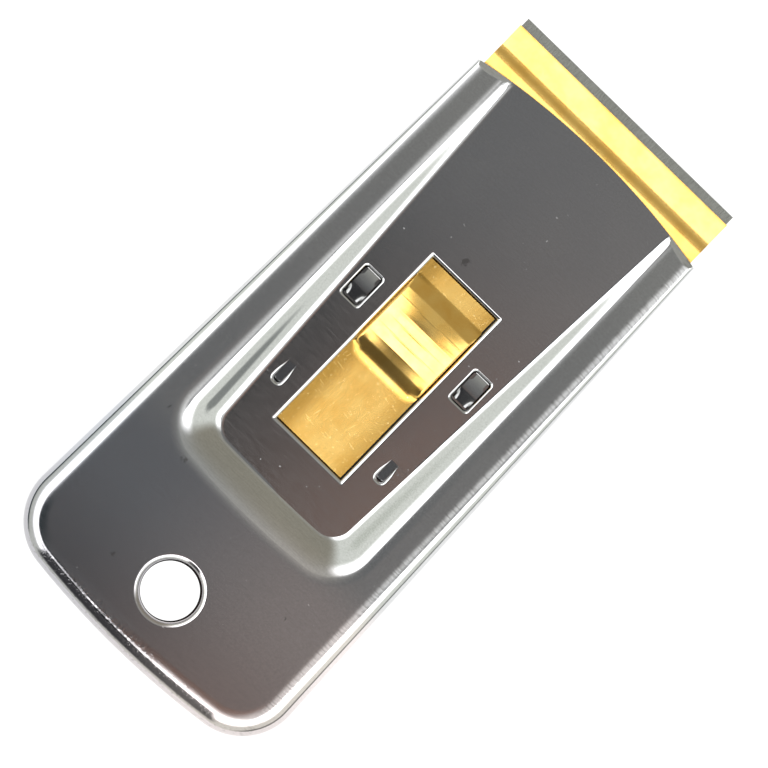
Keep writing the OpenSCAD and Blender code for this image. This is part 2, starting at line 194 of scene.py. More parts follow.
# Carriage and its travel
travel_front = 2.5
travel_back = 13.0
end_gap = 0.2
tongue_half = 8.3
tail_y = carriage_low.y
tail_ear_l = 4.0
tail_half = 10.9
shoulder_y = lug_y + lug_l / 2 + lug_gap + travel_back + end_gap
pad_half = 5.85
pad_front_y = window_front_y - travel_front - end_gap
pad_edge_y = pad_front_y - 2.3
pad_rear_y = pad_edge_y - 7.6
pad_back_y = pad_front_y - 14.0
pad_foot_y = pad_back_y + 1.1
pad_crest_y = pad_edge_y - 3.0
pad_h = 1.8
pad_edge_h = 1.48
pad_mid_y = pad_edge_y - 1.4
pad_mid_h = 1.68
pad_rear_h = 1.28
pad_foot_h = 0.07
pad_foot_top_y = pad_foot_y + 0.1
pad_foot_top_h = 0.112
# The foot behind the pad runs out in these shares of its length and height
pad_foot_curve = ((0.35, 0.6), (0.7, 0.16), (1, 0))
pad_round_l = 0.35
pad_round_h = 0.1
pad_bend = 0.6
pad_crown_r = 44.0
rib_count = 6
brow_y = pad_rear_y - 1.35
brow_h = 0.9472
lip_y = carriage_high.y
crease_y = lip_y - 3.8
bead_y = crease_y - 0.95
bead_back_y = crease_y - 3.1
bead_back_share = 0.45
step_y = spine_high.y + carriage_t
step_top_y = step_y + 3 * carriage_t
holder_bend = 0.3

# Steps along the sides, corners and back of a U-shaped curve
side_steps = 10
corner_steps = 18
back_steps = 8
# Flat strip that keeps the shading of a plane off the curve beside it
guard = 0.06
# Points closer than these are joined, in a part and in a whole piece
weld_gap = 0.002
final_weld_gap = 0.0005
# Edges shorter than this are taken out
least_edge = 0.001
# Edges that turn by more degrees than these stay sharp
case_sharp_angle = 12.5
sharp_angle = 35


def smooth_step(low, high, value):
    """0 up to low, 1 from high on, and an even curve between."""
    share = min(max((value - low) / (high - low), 0.0), 1.0)
    return share * share * (3 - 2 * share)


def blend(a, b, share):
    return a + (b - a) * share


def rail_share(y):
    return max((front_y - y) / case_l, 0.0)


def dressed(x, y, z):
    """Height cut down to the facet at the front ends of the rails."""
    return min(z, panel_z + facet_slope * max(front_arc(x) - y, 0.0))


def rail_z(y):
    """Height of the plane of the grip and the side rails."""
    return panel_z + blend(rail_front_h, rail_back_h, rail_share(y))


def top_z(x, y):
    """Height of the grip and the side rails as they are."""
    return dressed(x, y, rail_z(y))


def roll_r(y):
    return blend(roll_front_r, roll_back_r, rail_share(y))


def front_arc(x):
    """The bowed front edge."""
    return front_y - bow_r + math.sqrt(bow_r ** 2 - x ** 2)


def side_shares(length):
    """Shares along a straight side: close together at the front edge, then even."""
    close = [facet_l * row / length for row in facet_rows]
    first = close[-1]
    even = [blend(first, 1, i / side_steps) for i in range(1, side_steps)]
    return close + even


def u_curve(front_w, back_w, end_y, r, crown):
    """A U-shaped curve from the right front edge round the back to the left front edge."""
    corner_x = back_w - r
    arc_x = corner_x + r * math.sin(crown)
    arc_y = end_y + arc_x * math.tan(crown) / 2
    centre_y = arc_y + r * math.cos(crown)
    start_y = front_y + 1
    along = 0.0
    for _ in range(4):
        along = (start_y - front_arc(blend(front_w, back_w, along))) / (start_y - centre_y)
    half = []
    for share in side_shares(start_y - centre_y):
        place = blend(along, 1, share)
        half.append((blend(front_w, back_w, place), blend(start_y, centre_y, place)))
    for i in range(corner_steps + 1):
        angle = (math.pi / 2 - crown) * i / corner_steps
        half.append((corner_x + r * math.cos(angle), centre_y - r * math.sin(angle)))
    for i in range(1, back_steps + 1):
        x = arc_x * (1 - i / back_steps)
        half.append((x, end_y + x * x * math.tan(crown) / (2 * arc_x)))
    return half + [(-x, y) for x, y in reversed(half[:-1])]


def outline(front_in, back_in):
    """The case outline, moved inward at the front and at the back."""
    return u_curve(front_half - front_in, back_half - back_in, back_y + back_in,
                   back_corner_r - back_in, back_crown)


def roll_top(h, r):
    """Where the edge roll meets its shoulder, measured inward from the outline."""
    wall = math.tan(side_draft) * (h - r + r * math.sin(side_draft))
    return wall + r * (math.cos(side_draft) - math.sin(shoulder_tilt))


front_top = roll_top(panel_z + rail_front_h, roll_front_r)
back_top = roll_top(panel_z + rail_back_h, roll_back_r)


def back_share(place, count):
    """0 on the sides of a U-shaped curve and 1 along its back, for one of its points."""
    side_n = len(side_shares(1.0))
    return smooth_step(side_n, side_n + corner_steps, min(place, count - 1 - place))


def edge_ring(ring, drop, roll=0.0):
    """Ring below the plane by a drop, missing at the left of the back, and a share of the roll."""
    points = []
    for i, (x, y) in enumerate(ring):
        crisp = back_share(i, len(ring)) * smooth_step(crisp_start_x, crisp_full_x, x)
        z = rail_z(y) - drop * (1 - crisp) - roll_r(y) * roll
        points.append((x, y, dressed(x, y, z)))
    return points


def roll_ring(angle):
    """Ring on the rolled edge at an angle above level."""
    out = math.cos(angle) - math.sin(shoulder_tilt)
    ring = outline(front_top - roll_front_r * out, back_top - roll_back_r * out)
    return edge_ring(ring, shoulder_drop, math.cos(shoulder_tilt) - math.sin(angle))


def soft_drop(away):
    """How far a soft shoulder lies under its plane, by the distance from its low edge."""
    return shoulder_drop * max(1 - away / shoulder_w, 0.0) ** 2


def shoulder_ring(inward):
    """Ring on the soft shoulder between the rolled edge and the plane inside it."""
    return edge_ring(outline(front_top + inward, back_top + inward), soft_drop(inward))


def side_rise(share, steep):
    """Share of its height that a side wall has reached: an even S, or a steeper one."""
    s = share ** side_wall_bias
    even = (1 - math.cos(math.pi * s)) / 2
    return blend(even, s ** 3 * (6 * s * s - 15 * s + 10), steep)


def back_rise(share):
    """Share of its height that the back wall has reached: a tight foot, a long soft crest."""
    def above_foot(s):
        return s - back_wall_foot * (1 - math.exp(-s / back_wall_foot))

    return 1 - (1 - above_foot(share) / above_foot(1)) ** back_wall_crest


def recess_curve(share, out=0.0):
    """Plan of the recess wall, from the panel (0) to the top (1), moved outward."""
    return u_curve(
        blend(panel_front_half, recess_front_half, share) + out,
        blend(panel_back_half, recess_back_half, share) + out,
        panel_back_y - recess_back_wall * share - out,
        blend(panel_corner_r, recess_corner_r, share) + out,
        blend(panel_crown, recess_crown, share))


def foot_z(x, inward):
    """Height of the soft foot of the wall, which only its left side has."""
    left = smooth_step(foot_fade_x, -foot_fade_x, x)
    return panel_z + foot_h * max(1 - inward / foot_w, 0.0) ** 2 * left


def foot_ring(inward):
    return [(x, y, foot_z(x, inward)) for x, y in recess_curve(0, -inward)]


def lip_ring(out):
    """Ring on the soft shoulder outside the recess wall."""
    return [(x, y, dressed(x, y, rail_z(y) - soft_drop(out))) for x, y in recess_curve(1, out)]


def wall_ring(share):
    """Ring on the recess wall. Its left side is steeper towards the back."""
    ring = recess_curve(share)
    points = []
    for i, (x, y) in enumerate(ring):
        steep = smooth_step(steep_start_y, steep_full_y, y) if x < 0 else 0.0
        rise = blend(side_rise(share, steep), back_rise(share), back_share(i, len(ring)))
        rise = blend(rise, share, wall_end_slope)
        z = blend(foot_z(x, 0), rail_z(y) - shoulder_drop, rise)
        points.append((x, y, dressed(x, y, z)))
    return points


def surrounds(loop, point):
    """True if the point lies inside the loop."""
    inside = False
    for a, b in zip(loop, loop[1:] + loop[:1]):
        if (a[1] > point.y) != (b[1] > point.y):
            crossing = blend(a[0], b[0], (point.y - a[1]) / (b[1] - a[1]))
            inside = inside != (point.x < crossing)
    return inside


class Sheet:
    """Surface of a piece, gathered from strips and fills, in millimetres."""

    def __init__(self):
        self.mesh = bmesh.new()

    def strip(self, rings, closed=False):
        """Quads between rings of as many points each."""
        rows = [[self.mesh.verts.new(p) for p in ring] for ring in rings]
        count = len(rows[0])
        for before, after in zip(rows, rows[1:]):
            for i in range(count if closed else count - 1):
                j = (i + 1) % count
                self.mesh.faces.new((before[i], before[j], after[j], after[i]))

    def fill(self, loops, height):
        """The area inside the first loop and outside the others."""
        points = []
        edges = []
        for loop in loops:
            first = len(points)
            points += [Vector(p[:2]) for p in loop]
            edges += [(first + i, first + (i + 1) % len(loop)) for i in range(len(loop))]
        inside = 1
        tolerance = 1e-6
        verts, _, faces, *_ = delaunay_2d_cdt(points, edges, [], inside, tolerance)
        made = [self.mesh.verts.new((v.x, v.y, height(v.x, v.y))) for v in verts]
        for f in faces:
            middle = sum((verts[i] for i in f), Vector((0, 0))) / len(f)
            if not any(surrounds(loop, middle) for loop in loops[1:]):
                self.mesh.faces.new([made[i] for i in f])

    def weld(self):
        """Joins the parts, and turns the faces up."""
        bmesh.ops.remove_doubles(self.mesh, verts=self.mesh.verts, dist=weld_gap)
        bmesh.ops.dissolve_degenerate(self.mesh, edges=self.mesh.edges, dist=least_edge)
        bmesh.ops.recalc_face_normals(self.mesh, faces=self.mesh.faces)
        facing = sum(f.normal.z * f.calc_area() for f in self.mesh.faces)
        if facing < 0:
            bmesh.ops.reverse_faces(self.mesh, faces=self.mesh.faces)
        return self

    def thicken(self, thickness):
        """Gives the surface a second side below it, and closes its edges."""
        mesh = self.mesh
        mesh.normal_update()
        faces = list(mesh.faces)
        rims = [e.link_loops[0] for e in mesh.edges if e.is_boundary]
        rims = [(loop.vert, loop.link_loop_next.vert) for loop in rims]
        depth_limit = 1.4
        under = {}
        for v in list(mesh.verts):
            depth = thickness * min(v.calc_shell_factor(), depth_limit)
            under[v] = mesh.verts.new(v.co - v.normal * depth)
        for f in faces:
            mesh.faces.new([under[v] for v in reversed(f.verts)])
        for a, b in rims:
            mesh.faces.new((b, a, under[a], under[b]))
        return self

    def solid(self, path, thickness, low_x, high_x):
        """A bent strip of even thickness: its side view is a path in Y and Z."""
        legs = [Vector((-(b[1] - a[1]), b[0] - a[0])).normalized() for a, b in zip(path, path[1:])]
        least_cos = 0.5
        section = {1: [], -1: []}
        for i, point in enumerate(path):
            middle = (legs[max(i - 1, 0)] + legs[min(i, len(legs) - 1)]).normalized()
            reach = thickness / 2 / max(middle.dot(legs[min(i, len(legs) - 1)]), least_cos)
            for side in section:
                section[side].append(Vector(point) + middle * reach * side)
        loop = section[1] + section[-1][::-1]
        rings = [[(x, p.x, p.y) for p in loop] for x in (low_x, high_x)]
        self.strip(rings, closed=True)
        count = len(path)
        for ring in rings:
            self.strip([ring[:count], ring[:count - 1:-1]])

    def join(self, other, turn):
        """Takes over another surface, moved by a matrix."""
        other.mesh.transform(turn)
        data = bpy.data.meshes.new("joined")
        other.mesh.to_mesh(data)
        other.mesh.free()
        self.mesh.from_mesh(data)
        bpy.data.meshes.remove(data)

    def piece(self, name, material, sharp=sharp_angle):
        """The finished object, in metres, smooth but for its sharp edges."""
        bmesh.ops.remove_doubles(self.mesh, verts=self.mesh.verts, dist=final_weld_gap)
        bmesh.ops.recalc_face_normals(self.mesh, faces=self.mesh.faces)
        self.mesh.transform(Matrix.Scale(MM, 4))
        data = bpy.data.meshes.new(name)
        self.mesh.to_mesh(data)
        self.mesh.free()
        data.shade_smooth()
        data.set_sharp_from_angle(angle=math.radians(sharp))
        data.materials.append(material)
        made = bpy.data.objects.new(name, data)
        scene.collection.objects.link(made)
        return made


def circle(r, aside=0.0):
    """A circle round the hanging hole, or a little aside from it to the back left."""
    count = 64
    turns = [2 * math.pi * i / count for i in range(count)]
    return [(r * math.cos(a) - aside, hole_y + r * math.sin(a) - aside) for a in turns]


def rounded_box(x, y, half_w, half_l, r):
    """A rectangle with rounded corners, anticlockwise from its right back corner."""
    steps = 4
    loop = []
    for turn, (side_x, side_y) in enumerate(((1, -1), (1, 1), (-1, 1), (-1, -1))):
        for i in range(steps + 1):
            angle = math.pi / 2 * (turn - 1 + i / steps)
            loop.append((x + side_x * (half_w - r) + r * math.cos(angle),
                         y + side_y * (half_l - r) + r * math.sin(angle)))
    return loop


def rounding(steps, end=math.pi / 2):
    """Section of a rounded edge: shares of its width left and of its height covered."""
    turns = [end * i / steps for i in range(steps + 1)]
    return [(1 - math.sin(turn), 1 - math.cos(turn)) for turn in turns]


def on_panel(loop, drop=0.0):
    return [(x, y, panel_z - drop) for x, y in loop]


def sheared_hole(sheet, x, y, half_w, half_l, width, corner, burr=burr_w, aside=0.0):
    """Drawn-in rim of a hole in the panel, above a burr that may lie aside to the left.
    Returns the loop where the flat panel ends."""
    steps = 9
    least_r = 0.05
    outer = rounded_box(x, y, half_w + width + guard, half_l + width + guard, corner + guard)
    rings = [on_panel(outer)]
    for left, covered in rounding(steps):
        loop = rounded_box(x, y, half_w + width * left, half_l + width * left, corner)
        rings.append(on_panel(loop, rim_h * covered))
    inner = rounded_box(x - aside, y, half_w - burr, half_l - burr, max(corner - burr, least_r))
    rings.append(on_panel(inner, rim_h + burr_h))
    sheet.strip(rings, closed=True)
    return outer


def stop_side():
    """Right half of a stop's outline from its root to its back: places and outward ways."""
    rows = 12
    corner_rows = 6
    root = stop_y + stop_l / 2
    half = stop_w / 2
    straight = stop_l - stop_corner_r
    runs = [0] + [blend(guard, straight, i / rows) for i in range(rows + 1)]
    side = [((half, root - run), (1.0, 0.0)) for run in runs]
    for i in range(1, corner_rows + 1):
        angle = math.pi / 2 * i / corner_rows
        way = Vector((math.cos(angle), -math.sin(angle)))
        middle = Vector((half - stop_corner_r, root - straight))
        side.append((middle + stop_corner_r * way, way))
    return side


def pressed_stop(sheet, x):
    """Tongue pressed down at its back, with a sheared rim round its free sides.
    Returns the loop where the flat panel ends."""
    steps = 9
    gap = 0.1
    gap_run = 0.1 * stop_l
    rim_run = 0.7 * stop_l
    root = stop_y + stop_l / 2
    side = stop_side()
    edge = side + [((-px, py), (-wx, wy)) for (px, py), (wx, wy) in reversed(side)]
    rings = []
    sections = [(1, 0, guard)] + [(left, covered, 0) for left, covered in rounding(steps)]
    for left, covered, beyond in sections:
        ring = []
        for (px, py), (wx, wy) in edge:
            share = smooth_step(0, rim_run, root - py)
            out = stop_rim_w * share * left + beyond
            ring.append((x + px + wx * out, py + wy * out, panel_z - rim_h * covered * share))
        rings.append(ring)
    sheet.strip(rings)
    tongue = []
    for (px, py), (wx, wy) in side:
        inward = gap * smooth_step(0, gap_run, root - py)
        z = panel_z - stop_drop * max(root - py - guard, 0.0) / (stop_l - guard)
        half = px - inward * wx
        tongue.append([(x - half, py - inward * wy, z), (x + half, py - inward * wy, z)])
    sheet.strip(tongue)
    root_corners = [rings[-1][-1], rings[-1][0]]
    return [p[:2] for p in rings[0] + root_corners]


def front_shell(material):
    """The pressed shell: hem, side walls, rolled edges, grip and rails, recess, panel."""
    sheet = Sheet()
    fold_steps = 9
    rings = [[(x, y, 0.0) for x, y in outline(hem_w, hem_w)]]
    for left, covered in rounding(fold_steps, math.pi / 2 - side_draft):
        rings.append([(x, y, fold_r * covered) for x, y in outline(fold_r * left, fold_r * left)])
    roll_steps = 14
    for i in range(roll_steps + 1):
        rings.append(roll_ring(blend(side_draft, math.pi / 2 - shoulder_tilt, i / roll_steps)))
    shoulder_steps = 6
    shoulder = [shoulder_w * i / shoulder_steps for i in range(shoulder_steps + 1)]
    shoulder.append(shoulder_w + guard)
    rings += [shoulder_ring(away) for away in shoulder]
    sheet.strip(rings)
    wall_steps = 16
    foot_steps = 3
    walls = [lip_ring(away) for away in reversed(shoulder[1:])]
    walls += [wall_ring(1 - i / wall_steps) for i in range(wall_steps + 1)]
    walls += [foot_ring(foot_w * i / foot_steps) for i in range(1, foot_steps + 1)]
    walls.append(foot_ring(foot_w + guard))
    sheet.strip(walls)
    grip_and_rails(sheet, rings[-1], walls[0])
    panel(sheet, walls[-1])
    sheet.weld().thicken(sheet_t)
    return sheet.piece("shell", material, case_sharp_angle)


def grip_and_rails(sheet, ledge, lip):
    """The inclined plane between rolled edge and recess, with the rim of the hole."""
    side_n = len(side_shares(1.0)) + 1
    count = len(ledge)
    for first in (0, count - side_n):
        span = range(first, first + side_n)
        sheet.strip([[ledge[i] for i in span], [lip[i] for i in span]])
    middle = range(side_n - 1, count - side_n + 1)
    boundary = [ledge[i] for i in middle] + [lip[i] for i in reversed(middle)]
    low_edge = boss_z + fit_gap
    steps = 10
    flat = circle(hole_r + hole_lap + hole_rim_w + guard)
    rings = [[(x, y, top_z(x, y)) for x, y in flat]]
    for left, covered in rounding(steps):
        ring = circle(hole_r + hole_lap + hole_rim_w * left)
        rings.append([(x, y, blend(top_z(x, y), low_edge, covered)) for x, y in ring])
    sheet.strip(rings, closed=True)
    sheet.fill([boundary, flat], top_z)


def panel(sheet, foot):
    """The sunk panel with its window, lug holes and pressed stops."""
    front_steps = 24
    left = foot[-1][0]
    front = [blend(left, -left, i / front_steps) for i in range(1, front_steps)]
    loops = [[p[:2] for p in foot] + [(x, front_arc(x)) for x in front]]
    middle = (window_front_y + window_back_y) / 2
    window_l = window_front_y - window_back_y
    loops.append(sheared_hole(sheet, 0, middle, window_half, window_l / 2, rim_w, window_corner_r,
                              window_burr_w, burr_aside))
    half_w = lug_w / 2 + lug_gap
    half_l = lug_l / 2 + lug_gap
    for side in (-1, 1):
        loops.append(sheared_hole(sheet, side * lug_x, lug_y, half_w, half_l, lug_rim_w, lug_corner_r))
        loops.append(pressed_stop(sheet, side * stop_x))
    sheet.fill(loops, lambda x, y: panel_z)


def back_plate(material):
    """Flat plate inside the hem, with a drawn boss under the hole and two hooked lugs."""
    sheet = Sheet()
    plate_in = (sheet_t + plate_gap) / math.cos(side_draft) + plate_top * math.tan(side_draft)
    edge = [p for p in outline(plate_in, plate_in) if p[1] < plate_high.y]
    half = edge[0][0]
    loops = [[(half, plate_high.y)] + edge + [(-half, plate_high.y)]]
    slot_y = lug_y + lug_l / 2 + slot_l / 2
    half_w = lug_w / 2 + slot_gap
    for side in (-1, 1):
        loops.append(rounded_box(side * lug_x, slot_y, half_w, slot_l / 2, slot_corner_r))
    step = 0.2
    boss_path = [(boss_base_r, plate_top), (boss_top_r, boss_z)]
    rings = []
    for r in reversed(spread(boss_top_r - boss_bend, boss_base_r + boss_bend, step)):
        rings.append([(x, y, level(boss_path, r, boss_bend)) for x, y in circle(r)])
    rings.append([(x, y, boss_z) for x, y in circle(hole_r, hole_aside)])
    sheet.strip(rings, closed=True)
    loops.append(circle(boss_base_r + boss_bend))
    sheet.fill(loops, lambda x, y: plate_top)
    sheet.weld().thicken(sheet_t)
    for side in (-1, 1):
        hooked_lug(sheet, side * lug_x)
    return sheet.piece("plate", material, case_sharp_angle)


def lug_top(share, y):
    """Height of a lug: a ridge, with the corners behind it turned down, the left one more."""
    front_l = lug_y + lug_l / 2 - lug_ridge_y
    before = max(y - lug_ridge_y, 0.0)
    behind = max(lug_ridge_y - y, 0.0)
    slope = lug_front_slope * before * before / (2 * front_l) + lug_back_slope * behind
    corner_power = 6
    corner = lug_corner_drop * smooth_step(0, lug_l / 2, behind) * share ** corner_power
    corner *= lug_left_share if share < 0 else 1.0
    return panel_z - lug_sink - slope - corner


def hooked_lug(sheet, x):
    """Lug that stands up into a hole of the panel on a narrow neck and bows over to the back."""
    front = lug_y + lug_l / 2
    end = lug_y - lug_l / 2 + lug_gap
    half_count = 6
    step = 0.2
    columns = [i / half_count for i in range(-half_count, half_count + 1)]
    rows = [[(lug_neck_w / 2 * share, front, plate_z + fit_gap) for share in columns]]
    for y in reversed(spread(end, lug_ridge_y, step) + spread(lug_ridge_y, front, step)[1:]):
        half = blend(lug_w, lug_neck_w, smooth_step(lug_neck_end_y, lug_neck_start_y, y)) / 2
        rows.append([(half * share, y, lug_top(share, y)) for share in columns])
    lug = Sheet()
    lug.strip(rows)
    lug.weld().thicken(sheet_t)
    sheet.join(lug, Matrix.Translation((x, 0, 0)))


def level(path, y, bend):
    """Height at y of a path of straight legs with rounded bends."""
    count = 9
    total = 0.0
    for i in range(count):
        at = y + bend * (2 * i / (count - 1) - 1)
        total += straight_level(path, at)
    return total / count


def straight_level(path, y):
    if y >= path[0][0]:
        return path[0][1]
    for (y0, z0), (y1, z1) in zip(path, path[1:]):
        if y >= y1:
            return blend(z1, z0, (y - y1) / (y0 - y1))
    return path[-1][1]


# Side views from front to back: the blade holder, and the pad above the flat of the carriage
bead_back_level = blend(flat_level, low_level, bead_back_share)
holder_path = [
    (lip_y, flat_level), (crease_y, low_level), (bead_y, flat_level),
    (bead_back_y, bead_back_level), (step_top_y, bead_back_level),
    (step_y, flat_level), (shoulder_y, flat_level)]
pad_front_path = [(pad_front_y, 0), (pad_edge_y, pad_edge_h)]
pad_top_path = [
    (2 * pad_edge_y - pad_mid_y, 2 * pad_edge_h - pad_mid_h), (pad_mid_y, pad_mid_h),
    (pad_crest_y, pad_h), (2 * pad_rear_y - pad_crest_y, 2 * pad_rear_h - pad_h)]
pad_back_path = [
    (pad_rear_y, pad_rear_h), (pad_rear_y - pad_round_l, pad_rear_h - pad_round_h),
    (brow_y, brow_h), (pad_foot_top_y, pad_foot_top_h)]
for run, rise in pad_foot_curve:
    pad_back_path.append((blend(pad_foot_y, pad_back_y, run), pad_foot_h * rise))


def ribs(y):
    """Fine grip ribs across the top of the pad."""
    rib_h = 0.012
    rib_w = 0.075
    total = 0.0
    for i in range(rib_count):
        away = (y - blend(pad_edge_y, pad_rear_y, i / (rib_count - 1))) / rib_w
        total += rib_h * math.exp(-away * away)
    return total


def pad_side_view(y):
    """Height of the pad on its middle line: front, crowned top, back and foot."""
    if y > pad_edge_y:
        return straight_level(pad_front_path, y)
    if y > pad_rear_y:
        return level(pad_top_path, y, pad_bend)
    return straight_level(pad_back_path, y)


def pad_along(x, y):
    """Place of a point on the side view of the pad, whose back narrows at its ends."""
    corner_w = 1.5
    corner_drop = 0.35
    corner_rise = 1.5
    corner = max((abs(x) - pad_half + corner_w) / corner_w, 0.0) ** 2
    half_l = (brow_y - pad_foot_y) / 2
    off = min(max(y - pad_foot_y - half_l, -half_l), half_l)
    squeeze = corner_rise if off < 0 else corner_drop
    return y + off * squeeze * corner * smooth_step(pad_rear_y, brow_y, y)


def pad_level(x, y):
    """Height of the thumb pad above the flat of the carriage."""
    along = pad_along(x, y)
    if along >= pad_front_y or along <= pad_back_y or abs(x) >= pad_half:
        return 0.0
    soft = 0.12
    near = [min(max(along + soft * i, pad_back_y), pad_front_y) for i in (-1, 0, 1)]
    height = sum(pad_side_view(at) for at in near) / len(near)
    height -= x * x / (2 * pad_crown_r) * height / pad_h
    height += ribs(along)
    edge_w = 0.3
    edge = max((abs(x) - pad_half + edge_w) / edge_w, 0.0)
    edge *= smooth_step(pad_front_y, pad_edge_y - edge_w, y)
    return height * math.sqrt(1 - edge * edge)


def carriage_level(x, y):
    if y > shoulder_y:
        return level(holder_path, y, holder_bend)
    return flat_level + pad_level(x, y)


def spread(low, high, step):
    count = max(1, round((high - low) / step))
    return [blend(low, high, i / count) for i in range(count + 1)]


def carriage_grid():
    """Places of points across and along the carriage."""
    middle_step = 0.35
    side_step = 0.12
    rim_step = 0.03
    pad_step = 0.07
    holder_step = 0.15
    margin = 0.4
    side_x = 0.7 * pad_half
    rim_x = 0.97 * pad_half
    right = spread(0, side_x, middle_step)
    right += spread(side_x, rim_x, side_step)[1:] + spread(rim_x, pad_half, rim_step)[1:]
    right += [tongue_half, tail_half, carriage_high.x]
    across = [-x for x in reversed(right[1:])] + right
    along = [tail_y, tail_y + tail_ear_l] + spread(pad_back_y - margin, pad_front_y + margin, pad_step)
    along += [shoulder_y] + spread(step_y - margin, lip_y, holder_step)
    return across, along


def on_carriage(x, y):
    """True inside the plan of the carriage: blade holder, tongue and wider tail."""
    if y > shoulder_y:
        return True
    return abs(x) < (tail_half if y < tail_y + tail_ear_l else tongue_half)


def blade_carriage(material):
    """The plated carriage: blade holder, tongue with the thumb pad, tail and ears."""
    xs, ys = carriage_grid()
    sheet = Sheet()
    tops = {}

    def corner(i, j):
        if (i, j) not in tops:
            x, y = xs[i], ys[j]
            tops[i, j] = sheet.mesh.verts.new((x, y, carriage_level(x, y) + carriage_t / 2))
        return tops[i, j]

    square = ((0, 0), (1, 0), (1, 1), (0, 1))
    for i in range(len(xs) - 1):
        for j in range(len(ys) - 1):
            if on_carriage((xs[i] + xs[i + 1]) / 2, (ys[j] + ys[j + 1]) / 2):
                sheet.mesh.faces.new([corner(i + a, j + b) for a, b in square])
    sheet.thicken(carriage_t)
    for side in (-1, 1):
        folded_ear(sheet, side)
    return sheet.piece("carriage", material)


def folded_ear(sheet, side):
    """Ear that drops through a notch of the blade and turns in under it."""
    notch_d = 1.95
    leg_in = 0.35
    ear_w = 2.2
    ear_foot = 2.2
    bend = 0.2
    bend_cut = 0.3 * bend
    ear_y = (step_top_y + bead_back_y) / 2
    leg_x = side * (blade_high.x - notch_d + leg_in)
    foot_level = blade_low.z - fit_gap - carriage_t / 2
    path = [
        (0, carriage_level(leg_x, ear_y)), (0, foot_level + bend), (-bend_cut, foot_level + bend_cut),
        (-bend, foot_level), (-ear_foot, foot_level)]
    ear = Sheet()
    ear.solid(path, carriage_t, -ear_w / 2, ear_w / 2)
    turn = Matrix.Rotation(-side * math.pi / 2, 4, "Z")
    sheet.join(ear, Matrix.Translation((leg_x, ear_y, 0)) @ turn)


def blade_spine(material):
    """Strip folded round the back of the blade."""
    sheet = Sheet()
    leaf_t = (spine_high.z - spine_low.z - blade_t - fit_gap) / 2
    bend = (spine_high.z - spine_low.z - leaf_t) / 2
    middle = (spine_high.z + spine_low.z) / 2
    back = spine_low.y + bend + leaf_t / 2
    path = [(spine_high.y, middle + bend)]
    bend_steps = 12
    for i in range(bend_steps + 1):
        angle = math.pi / 2 + math.pi * i / bend_steps
        path.append((back + bend * math.cos(angle), middle + bend * math.sin(angle)))
    path.append((spine_high.y, middle - bend))
    sheet.solid(path, leaf_t, spine_low.x, spine_high.x)
    return sheet.piece("spine", material)


class Nodes:
    """Short names for building a node tree."""

    def __init__(self, tree):
        self.tree = tree
        tree.nodes.clear()

    def add(self, kind, inputs=None, **settings):
        """A new node with its settings, and its inputs by name or number."""
        node = self.tree.nodes.new(kind)
        for name, value in settings.items():
            setattr(node, name, value)
        self.put(node, inputs or {})
        return node

    def put(self, node, inputs):
        """Sets inputs of a node, or links them to other nodes."""
        for key, value in inputs.items():
            socket = node.inputs[key]
            if isinstance(value, bpy.types.NodeSocket):
                self.tree.links.new(value, socket)
            elif socket.type == "RGBA":
                socket.default_value = (*value, 1)
            else:
                socket.default_value = value

    def math(self, operation, a, b=0.0):
        return self.add("ShaderNodeMath", {0: a, 1: b}, operation=operation).outputs[0]

    def ramp(self, value, low, high, to_low=0.0, to_high=1.0):
        """Value taken smoothly from one range to another."""
        inputs = dict(enumerate((value, low, high, to_low, to_high)))
        return self.add("ShaderNodeMapRange", inputs, interpolation_type="SMOOTHSTEP").outputs[0]

    def mix(self, share, a, b):
        """A colour between two others."""
        inputs = {"Factor": share, "A": a, "B": b}
        return self.add("ShaderNodeMix", inputs, data_type="RGBA").outputs["Result"]

    def fold(self, operation, total, *others):
        """Some values taken together by one operation."""
        for other in others:
            total = self.math(operation, total, other)
        return total

    def either(self, *masks):
        """The strongest of some masks."""
        return self.fold("MAXIMUM", *masks)

    def both(self, *masks):
        """The product of some masks."""
        return self.fold("MULTIPLY", *masks)

    def band(self, value, start, full, last, end):
        """1 from full to last, and fading to 0 at start and at end."""
        return self.both(self.ramp(value, start, full), self.ramp(value, end, last))

    def split(self, vector):
        return self.add("ShaderNodeSeparateXYZ", {0: vector}).outputs

    def stretch(self, vector, scale, angle=0.0):
        """A place that is scaled and then turned about Z."""
        inputs = {"Vector": vector, "Rotation": (0, 0, angle), "Scale": scale}
        return self.add("ShaderNodeMapping", inputs).outputs[0]

    def noise(self, vector, scale=1.0, detail=3.0, roughness=0.5):
        inputs = {"Vector": vector, "Scale": scale, "Detail": detail, "Roughness": roughness}
        return self.add("ShaderNodeTexNoise", inputs).outputs["Fac"]


